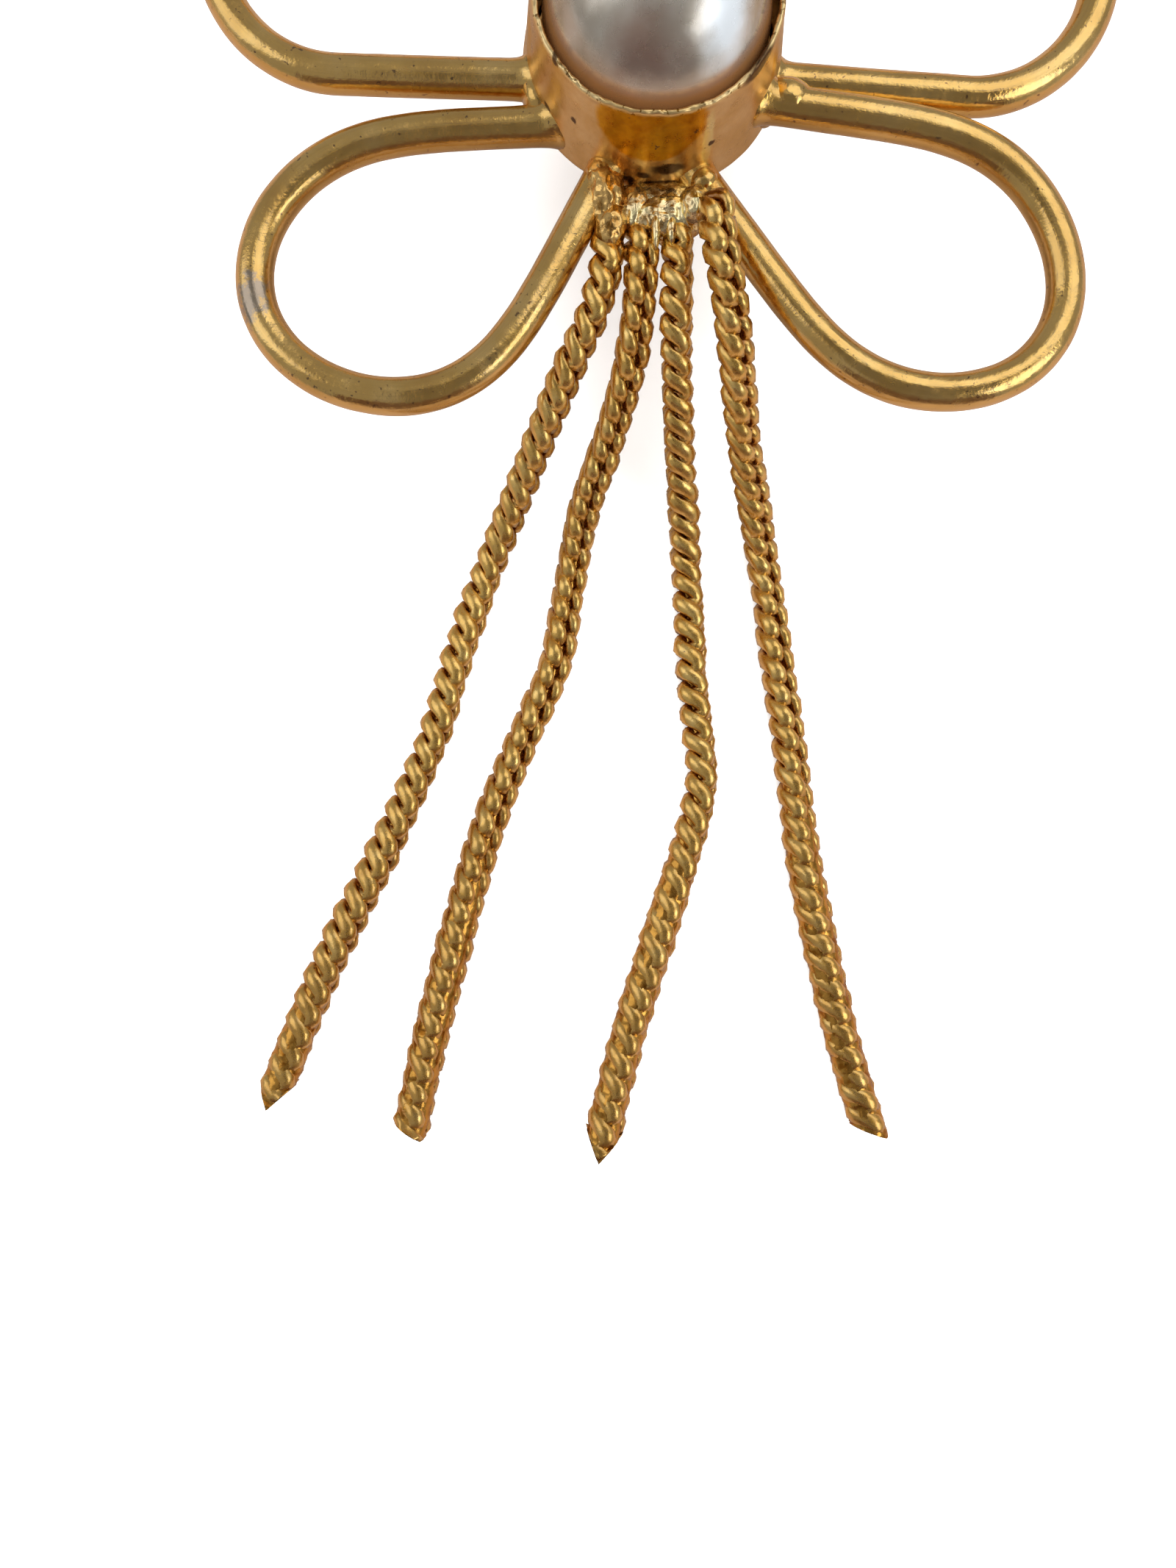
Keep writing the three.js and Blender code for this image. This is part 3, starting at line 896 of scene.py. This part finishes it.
def cup_finish():
    """The cup's sheet: satin plate with creases, a painted reflection of the gold below in deep
    orange over the seam, a painted highlight streak and two orange streaks beside that, a rim
    painted pale as a highlight and broken by dark nicks, and dark smudges of burnt flux. Their
    places are millimetres round the wall from the seam and up it."""
    f = Finish("plated gold cup")
    wall = f.mark("wall")
    wander = f.wander(wall, 1.3)
    colour = f.ramp(
        f.noise(1.8, 4.0),
        [(0.3, (0.73, 0.46, 0.16)), (0.5, (0.84, 0.56, 0.24)), (0.72, (0.94, 0.69, 0.36))],
    )
    # Painted reflection: the wall over the seam is coloured deep orange, as if mirroring the gold
    # strands and solder below it.
    painted_gold_reflection = f.ramp(f.noise(0.9, 3.0), [(0.3, (0.60, 0.25, 0.005)), (0.7, (0.88, 0.46, 0.02))])
    # Patches on the wall: the painted reflection over the seam, a painted highlight streak, and
    # two orange streaks beside that.
    for middle, size, edge, reach, patch_colour in (
        ((-0.3, 5.2), (3.0, 2.7), 0.12, 0.45, painted_gold_reflection),
        # Painted highlight: a pale streak standing up the wall.
        ((2.75, 3.4), (0.38, 2.7), 0.5, 0.3, (1.0, 0.84, 0.42)),
        ((7.6, 4.2), (0.5, 2.0), 0.6, 0.4, (0.80, 0.45, 0.04)),
        ((-9.2, 3.6), (0.8, 2.4), 0.6, 0.4, (0.80, 0.45, 0.04)),
    ):
        patch_mask = f.oval(f.ragged(wall, wander, reach), middle, size, edge)
        colour = f.mix(patch_mask, colour, patch_colour)
    # Painted highlight: the rim's top is painted pale, broken by dark nicks.
    rim = f.ramp(f.maths("DIVIDE", f.part(wall, "Y"), 10.0), [(0.6, 0.0), (0.615, 1.0)])
    nicks = f.ramp(f.noise(0.3, 2.0), [(0.38, 1.0), (0.43, 0.0)])
    painted_rim_highlight = f.mix(nicks, (0.95, 0.74, 0.38), (0.22, 0.12, 0.04))
    colour = f.mix(f.maths("MULTIPLY", rim, 0.8), colour, painted_rim_highlight)
    ragged = f.ragged(wall, wander, 0.5)
    for middle, size in (
        ((0.75, 1.95), (1.15, 0.5)),
        ((-0.55, 1.45), (0.45, 0.3)),
        ((-1.3, 0.95), (0.4, 0.3)),
        ((0.3, 0.7), (1.35, 0.45)),
        ((3.0, 3.1), (0.22, 0.25)),
        ((-6.6, 2.4), (0.4, 0.3)),
        ((-4.5, 3.6), (0.2, 0.3)),
        ((5.8, 6.1), (1.6, 0.45)),
        ((-5.9, 6.25), (0.3, 0.3)),
    ):
        colour = f.mix(f.oval(ragged, middle, size, 0.5), colour, (0.15, 0.09, 0.045))
    pits = f.ramp(f.noise(0.5, 2.0), [(0.72, 0.0), (0.78, 1.0)])
    colour = f.mix(pits, colour, (0.2, 0.1, 0.04))
    roughness = f.ramp(f.noise(0.9, 4.0, 0.6), [(0.25, 0.22), (0.75, 0.42)])
    return f.finish(colour, roughness, f.bump(f.noise(0.6, 4.0, 0.6), 0.03))


def solder_finish(name, light, dark, creases):
    """Solder under the plating, crumpled like foil. Its colour follows the folds' heights: painted
    shade, browner, down in the folds, and a paler painted highlight on their crests.
    """
    f = Finish(name)
    folds = f.noise(0.7, 3.0, distortion=0.3)
    pale = tuple(min(1.0, 1.2 * c) for c in light)
    # Painted shade and highlight: dark in the folds and pale on the crests of the same heights
    # that make the bump.
    colour = f.ramp(folds, [(0.34, dark), (0.48, light), (0.62, pale)])
    roughness = f.ramp(f.noise(0.3, 3.0), [(0.3, 0.14), (0.7, 0.3)])
    return f.finish(colour, roughness, f.bump(folds, creases))


def chain_finish():
    """Chain links: satin plate, with painted shade in dark brown down between the links, and
    deeper in colour towards the tips."""
    f = Finish("plated gold chain")
    place = f.mark("in_strand")
    colour = f.ramp(
        f.noise(1.1, 4.0),
        [(0.3, (0.74, 0.43, 0.08)), (0.52, (0.88, 0.55, 0.13)), (0.75, (0.98, 0.70, 0.24))],
    )
    strand_length = 60.0
    down = f.maths("MULTIPLY", f.part(place, "Y"), 1.0 / strand_length)
    deeper = f.ramp(down, [(0.45, 0.0), (0.8, 1.0)])
    colour = f.mix(deeper, colour, (0.86, 0.79, 0.70), "MULTIPLY")
    # Painted shade: dark brown where a place lies deep in the strand, near its middle, as down
    # between the links.
    height = f.maths("ADD", f.part(place, "X"), f.maths("MULTIPLY", f.noise(0.5, 3.0), 0.2))
    colour = f.mix(f.ramp(height, [(0.68, 1.0), (0.93, 0.0)]), colour, (0.36, 0.14, 0.012))
    pits = f.ramp(f.noise(0.4, 2.0), [(0.74, 0.0), (0.8, 1.0)])
    colour = f.mix(pits, colour, (0.14, 0.07, 0.02))
    roughness = f.ramp(f.noise(0.4, 4.0), [(0.3, 0.2), (0.7, 0.38)])
    return f.finish(colour, roughness, f.bump(f.noise(0.35, 3.0, 0.6), 0.02), **LACQUER)


def nacre_finish():
    """Pearl coat: a half-mirror skin over a warm grey body, with a painted dusky reflection in its
    middle and a painted pale reflection of the window on its right; low down, where it sits in
    the cup, duller and orange-brown with a painted reflection of the gold wall round it."""
    f = Finish("pearl nacre")
    ragged = f.ragged(f.place, f.wander(f.place, 0.6 / MM), 1.6 * MM)
    tallest = 30.0
    height = f.maths("MULTIPLY", f.part(f.place, "Z"), 1.0 / (tallest * MM))
    rim = (CUP_BACK + CUP_HEIGHT) / tallest
    # Painted reflection: low down by the rim the pearl is coloured orange-brown and made less
    # metallic, as if mirroring the gold wall round it.
    low = f.ramp(height, [(rim - 0.012, 1.0), (rim + 0.004, 0.75), (rim + 0.018, 0.0)], "EASE")
    colour = f.ramp(
        f.noise(3.2, 3.0),
        [(0.3, (0.37, 0.33, 0.27)), (0.5, (0.47, 0.43, 0.37)), (0.7, (0.57, 0.55, 0.50))],
    )
    # Painted reflection: a dusky patch in the pearl's middle, where the dark above it would show.
    painted_dusky_reflection = f.oval(ragged, from_cup(-0.9, -3.9), (2.5, 1.7), 0.9, MM)
    colour = f.mix(painted_dusky_reflection, colour, (0.37, 0.27, 0.22))
    # Painted reflection: a pale patch on the pearl's right, where the window would show, and less
    # metallic there.
    pale = f.oval(ragged, from_cup(3.0, -2.6), (2.1, 3.2), 0.8, MM)
    colour = f.mix(pale, colour, (0.50, 0.54, 0.58))
    colour = f.mix(low, colour, (0.36, 0.17, 0.06))
    metal = f.mix(f.maths("MAXIMUM", low, pale), (0.9, 0.9, 0.9), (0.4, 0.4, 0.4))
    roughness = f.ramp(f.noise(1.4, 3.0), [(0.3, 0.22), (0.7, 0.32)])
    normal = f.bump(f.noise(1.2, 2.0), 0.015)
    return f.finish(colour, roughness, normal, metal, Coat_Weight=0.35, Coat_Roughness=0.12)


def floor_finish():
    """A matt pale floor, all but even."""
    f = Finish("pale paper")
    colour = f.ramp(f.noise(30.0, 2.0), [(0.3, (0.9, 0.9, 0.9)), (0.7, (0.92, 0.92, 0.92))])
    return f.finish(colour, 0.9, metallic=0.0)


gold_wire = wire_finish("plated gold wire")
gold_bead = wire_finish("plated gold bead", drawn=False)
gold_cup = cup_finish()
gold_solder = solder_finish("plated solder", (0.93, 0.74, 0.42), (0.40, 0.21, 0.05), 0.09)
gold_foil = solder_finish("gold plated solder", (0.78, 0.50, 0.18), (0.40, 0.19, 0.04), 0.06)
gold_flood = solder_finish(
    "plated solder on chain", (0.58, 0.30, 0.06), (0.34, 0.13, 0.015), 0.04
)
gold_chain = chain_finish()
gold_post = wire_finish("plated gold post", drawn=False)
pearl_nacre = nacre_finish()

for number, (name, petal) in enumerate(PETALS.items()):
    petal_wire(name, petal, 10 + 4 * number)
cup()
pearl()
solder()
for number, (name, values) in enumerate(STRANDS.items()):
    strand(name, values, 70 + 10 * number)
ear_post()


# ---- Floor, light and camera ----------------------------------------------------------------


def sheet(name, middle, size, material, facing=(0.0, 0.0, 0.0)):
    """A flat rectangle of this size, in millimetres, turned by these degrees."""
    x, y = size[0] / 2 * MM, size[1] / 2 * MM
    mesh = bpy.data.meshes.new(name)
    mesh.from_pydata([(-x, -y, 0), (x, -y, 0), (x, y, 0), (-x, y, 0)], [], [(0, 1, 2, 3)])
    mesh.materials.append(material)
    piece = bpy.data.objects.new(name, mesh)
    piece.location = [m * MM for m in middle]
    piece.rotation_euler = [np.radians(a) for a in facing]
    bpy.context.scene.collection.objects.link(piece)
    return piece


def card(name, middle, size, colour, facing=(0.0, 0.0, 0.0)):
    """A studio card that shows only in what is polished: it throws no shade and no light."""
    finish = Finish(name + " face")
    paler = tuple(1.2 * c for c in colour)
    tone = finish.ramp(finish.noise(60.0, 2.0), [(0.3, colour), (0.7, paler)])
    material = finish.finish(tone, 0.9, metallic=0.0)
    piece = sheet(name, middle, size, material, facing)
    piece.visible_camera = False
    piece.visible_diffuse = False
    piece.visible_shadow = False


def softbox(name, middle, size, brightness, colour):
    """A rectangular light at this place in millimetres, turned to face the earring. Its power is
    its brightness times pi times its area."""
    light = bpy.data.lights.new(name, "AREA")
    light.shape = "RECTANGLE"
    light.size = size[0] * MM
    light.size_y = size[1] * MM
    light.energy = brightness * np.pi * light.size * light.size_y
    light.color = colour
    lamp = bpy.data.objects.new(name, light)
    lamp.location = [m * MM for m in middle]
    turn = np.arctan2(middle[0], -middle[1])
    tilt = np.arctan2(np.hypot(middle[0], middle[1]), middle[2])
    lamp.rotation_euler = (float(tilt), 0.0, float(turn))
    bpy.context.scene.collection.objects.link(lamp)
    return lamp


sheet("floor", (0, 0, 0), (4000, 4000), floor_finish())
card("warm_table_card", (0, 0, 0.02), (900, 900), (0.21, 0.155, 0.125))
card("dark_front_card", (0, -330, 130), (520, 260), (0.06, 0.035, 0.03), (90, 0, 0))
card("dark_top_card", (16, -62, 79), (78, 150), (0.07, 0.065, 0.06))

world = bpy.data.worlds.new("soft room")
world.use_nodes = True
world.node_tree.nodes["Background"].inputs["Color"].default_value = (1.0, 0.98, 0.95, 1.0)
world.node_tree.nodes["Background"].inputs["Strength"].default_value = 0.34
bpy.context.scene.world = world

softbox("key", (230, 220, 420), (420, 420), 1.0, (1.0, 0.98, 0.95))
softbox("fill", (-360, 60, 300), (300, 400), 0.8, (0.98, 0.98, 1.0))
softbox("window", (285, -150, 310), (260, 280), 2.0, (1.0, 1.0, 1.0))
overhead = softbox("overhead", (0, 40, 700), (1100, 1100), 4.8, (1.0, 0.99, 0.98))
overhead.visible_glossy = False

camera_data = bpy.data.cameras.new("camera")
camera_data.sensor_width = 36.0
camera_data.lens = 27.865
camera_data.clip_start = 0.005
camera_data.clip_end = 20.0
camera = bpy.data.objects.new("camera", camera_data)
camera.location = (AXIS[0] - 3.425 * MM, AXIS[1] - 38.6 * MM, 75.5 * MM)
bpy.context.scene.collection.objects.link(camera)
bpy.context.scene.camera = camera
bpy.context.scene.view_settings.view_transform = "Standard"
